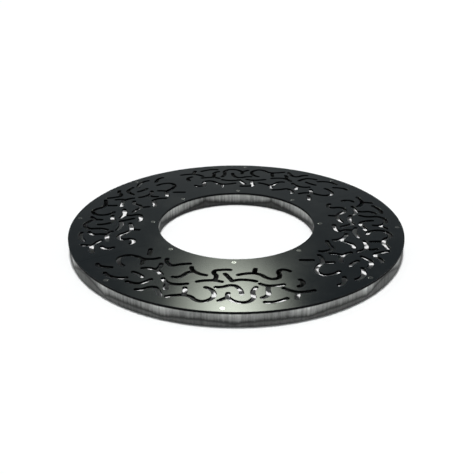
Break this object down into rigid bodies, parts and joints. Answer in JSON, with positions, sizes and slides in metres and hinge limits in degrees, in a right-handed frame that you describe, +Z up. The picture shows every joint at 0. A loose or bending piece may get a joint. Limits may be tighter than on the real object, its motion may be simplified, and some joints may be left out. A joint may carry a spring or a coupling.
{
  "type": "tree grate",
  "caption": "Round steel tree grate: a flat ring plate pierced by wavy, forked slots, screwed to a welded flat-bar frame that parts in two round a trunk.",
  "frame": {"origin": "on the ground plane under the frame, at the centre of the ring", "axes": "+Z up through the trunk opening, X along the seam between the two halves, Y across it"},
  "size_m": [1.2, 1.1998, 0.053],
  "materials": {
    "plate": "dark satin coat",
    "galvanised": "hot-dip galvanised, weathered",
    "screw": "bright stainless",
    "fastener": "zinc plated"
  },
  "bodies": {
    "frame": {"outer_rim_a": "galvanised", "inner_rim_a": "galvanised", "end_bar_a_right": "galvanised", "end_bar_a_left": "galvanised", "middle_bar_a": "galvanised", "inner_lug_a1": "galvanised", "inner_lug_a2": "galvanised", "inner_lug_a3": "galvanised", "inner_lug_a4": "galvanised", "outer_lug_a1": "galvanised", "outer_lug_a2": "galvanised", "outer_lug_a3": "galvanised", "outer_lug_a4": "galvanised", "outer_rim_b": "galvanised", "inner_rim_b": "galvanised", "end_bar_b_right": "galvanised", "end_bar_b_left": "galvanised", "middle_bar_b": "galvanised", "inner_lug_b1": "galvanised", "inner_lug_b2": "galvanised", "inner_lug_b3": "galvanised", "inner_lug_b4": "galvanised", "outer_lug_b1": "galvanised", "outer_lug_b2": "galvanised", "outer_lug_b3": "galvanised", "outer_lug_b4": "galvanised", "seam_bolts": "fastener", "seam_washers": "fastener", "seam_nuts": "fastener"},
    "plate_a": {"plate_half_a": "plate", "plate_screws_a": "screw"},
    "plate_b": {"plate_half_b": "plate", "plate_screws_b": "screw"}
  },
  "joints": [
    {"name": "plate_a_lift", "type": "slide", "parent": "frame", "child": "plate_a", "axis": [0, 0, 1], "range_m": [0, 0.25]},
    {"name": "plate_b_lift", "type": "slide", "parent": "frame", "child": "plate_b", "axis": [0, 0, 1], "range_m": [0, 0.25]}
  ]
}
